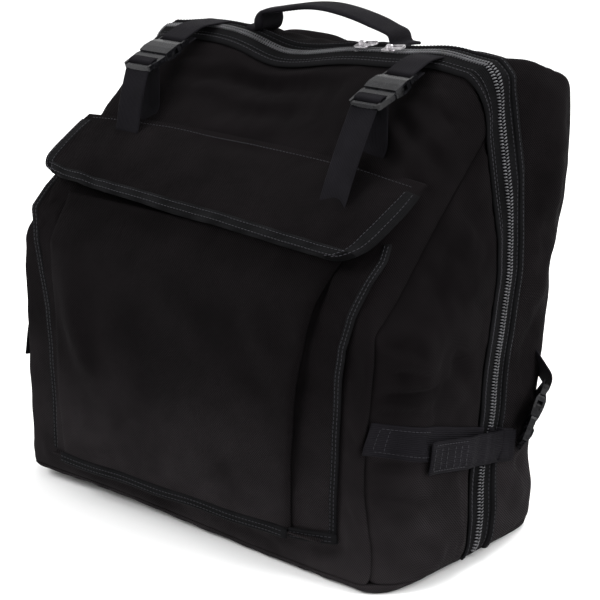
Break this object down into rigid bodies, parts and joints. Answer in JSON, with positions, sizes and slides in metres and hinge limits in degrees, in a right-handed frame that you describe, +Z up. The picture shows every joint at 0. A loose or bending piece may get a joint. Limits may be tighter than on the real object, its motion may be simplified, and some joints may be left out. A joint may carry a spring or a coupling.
{
  "type": "soft accordion case",
  "caption": "Padded black backpack case for a piano accordion: two zipped shells, a front bellows pocket under a flap, buckled webbing straps, a top handle and padded shoulder straps.",
  "frame": {"origin": "centre of the case's base on the plane that it stands on, half way between the front face and the back panel's foot", "axes": "+Z up; -Y towards the pocket side, the case's front; +X to the right as seen from the front"},
  "size_m": [0.5702, 0.3897, 0.5336],
  "materials": {
    "binding_tape": "grosgrain binding tape, folded and stitched",
    "buckle_plastic": "moulded acetal, smooth with a soft gloss",
    "case_fabric": "woven polyester twill over foam, matt",
    "pocket_fabric": "woven polyester twill, single layer, matt",
    "slider_metal": "die-cast zinc, gunmetal plated",
    "strap_padding": "padded shoulder strap, twill outside and mesh inside",
    "webbing": "flat woven polypropylene webbing",
    "zip_coil": "nylon coil, light grey",
    "zip_tape": "woven zip tape"
  },
  "bodies": {
    "front_shell": {"front_panel": "case_fabric", "side_panel_left": "case_fabric", "side_panel_right": "case_fabric", "bottom_panel": "case_fabric", "floor_hinge_strip": "binding_tape", "front_zip_tape": "zip_tape", "front_zip_coil": "zip_coil", "front_zip_welt": "binding_tape", "pocket_panel": "pocket_fabric", "pocket_gusset_left": "pocket_fabric", "pocket_gusset_right": "pocket_fabric", "pocket_floor_gusset": "pocket_fabric", "pocket_binding": "binding_tape", "flap_seam_strip": "binding_tape", "top_strap_lower_left": "webbing", "top_strap_lower_right": "webbing", "side_strap_front_left": "webbing", "side_strap_front_right": "webbing"},
    "pocket_flap": {"pocket_flap": "pocket_fabric", "pocket_flap_binding": "binding_tape"},
    "rear_shell": {"back_panel": "case_fabric", "rear_gusset": "case_fabric", "rear_bottom_panel": "case_fabric", "rear_zip_tape": "zip_tape", "rear_zip_coil": "zip_coil", "rear_zip_welt": "binding_tape", "carry_handle": "webbing", "top_strap_upper_left": "webbing", "top_female_clip_left": "buckle_plastic", "side_female_clip_left": "buckle_plastic", "side_strap_rear_left": "webbing", "shoulder_strap_left": "strap_padding", "shoulder_tab_left": "webbing", "shoulder_ladder_lock_left": "buckle_plastic", "shoulder_webbing_left": "webbing", "top_strap_upper_right": "webbing", "top_female_clip_right": "buckle_plastic", "side_female_clip_right": "buckle_plastic", "side_strap_rear_right": "webbing", "shoulder_strap_right": "strap_padding", "shoulder_tab_right": "webbing", "shoulder_ladder_lock_right": "buckle_plastic", "shoulder_webbing_right": "webbing"},
    "top_clip_left": {"top_male_clip_left": "buckle_plastic", "top_strap_wrap_left": "webbing"},
    "top_tail_left": {"top_strap_tail_left": "webbing"},
    "side_clip_left": {"side_male_clip_left": "buckle_plastic", "side_strap_wrap_left": "webbing"},
    "side_tail_left": {"side_strap_tail_left": "webbing"},
    "zip_slider_left": {"zip_slider_left": "slider_metal"},
    "zip_pull_left": {"zip_pull_left": "slider_metal"},
    "top_clip_right": {"top_male_clip_right": "buckle_plastic", "top_strap_wrap_right": "webbing"},
    "top_tail_right": {"top_strap_tail_right": "webbing"},
    "side_clip_right": {"side_male_clip_right": "buckle_plastic", "side_strap_wrap_right": "webbing"},
    "side_tail_right": {"side_strap_tail_right": "webbing"},
    "zip_slider_right": {"zip_slider_right": "slider_metal"},
    "zip_pull_right": {"zip_pull_right": "slider_metal"}
  },
  "joints": [
    {"name": "lid_hinge", "type": "hinge", "parent": "front_shell", "child": "rear_shell", "pos_m": [0, 0.034, 0], "axis": [-1, 0, 0], "range_deg": [0, 160]},
    {"name": "flap_hinge", "type": "hinge", "parent": "front_shell", "child": "pocket_flap", "pos_m": [0, -0.037, 0.40299], "axis": [-1, 0, 0], "range_deg": [0, 80]},
    {"name": "top_clip_release_left", "type": "slide", "parent": "front_shell", "child": "top_clip_left", "axis": [0, -0.9411, -0.3383], "range_m": [0, 0.028]},
    {"name": "top_tail_lift_left", "type": "hinge", "parent": "top_clip_left", "child": "top_tail_left", "pos_m": [-0.156, -0.03912, 0.4647], "axis": [-1, 0, 0], "range_deg": [0, 113]},
    {"name": "side_clip_release_left", "type": "slide", "parent": "front_shell", "child": "side_clip_left", "axis": [-0.1045, -0.7032, -0.7032], "range_m": [0, 0.028]},
    {"name": "side_tail_lift_left", "type": "hinge", "parent": "side_clip_left", "child": "side_tail_left", "pos_m": [-0.2713, 0.08, 0.104], "axis": [0, -0.1017, -0.9948], "range_deg": [0, 85]},
    {"name": "zip_travel_left", "type": "slide", "parent": "front_shell", "child": "zip_slider_left", "axis": [1, 0, 0], "range_m": [-0.178, 0]},
    {"name": "pull_swing_left", "type": "hinge", "parent": "zip_slider_left", "child": "zip_pull_left", "pos_m": [0.062, 0.07291, 0.49956], "axis": [0, -0.966, -0.2587], "range_deg": [0, 158]},
    {"name": "top_clip_release_right", "type": "slide", "parent": "front_shell", "child": "top_clip_right", "axis": [0, -0.9411, -0.3383], "range_m": [0, 0.028]},
    {"name": "top_tail_lift_right", "type": "hinge", "parent": "top_clip_right", "child": "top_tail_right", "pos_m": [0.156, -0.03912, 0.4647], "axis": [-1, 0, 0], "range_deg": [0, 97]},
    {"name": "side_clip_release_right", "type": "slide", "parent": "front_shell", "child": "side_clip_right", "axis": [0.1045, -0.7032, -0.7032], "range_m": [0, 0.028]},
    {"name": "side_tail_lift_right", "type": "hinge", "parent": "side_clip_right", "child": "side_tail_right", "pos_m": [0.2713, 0.08, 0.104], "axis": [0, 0.1017, 0.9948], "range_deg": [0, 85]},
    {"name": "zip_travel_right", "type": "slide", "parent": "front_shell", "child": "zip_slider_right", "axis": [1, 0, 0], "range_m": [0, 0.019]},
    {"name": "pull_swing_right", "type": "hinge", "parent": "zip_slider_right", "child": "zip_pull_right", "pos_m": [0.098, 0.07291, 0.49956], "axis": [0, -0.966, -0.2587], "range_deg": [0, 118]}
  ],
  "couplings": [
    {"joint": "top_tail_lift_left", "follows": "flap_hinge", "ratio": 1.4},
    {"joint": "top_tail_lift_right", "follows": "flap_hinge", "ratio": 1.2}
  ]
}
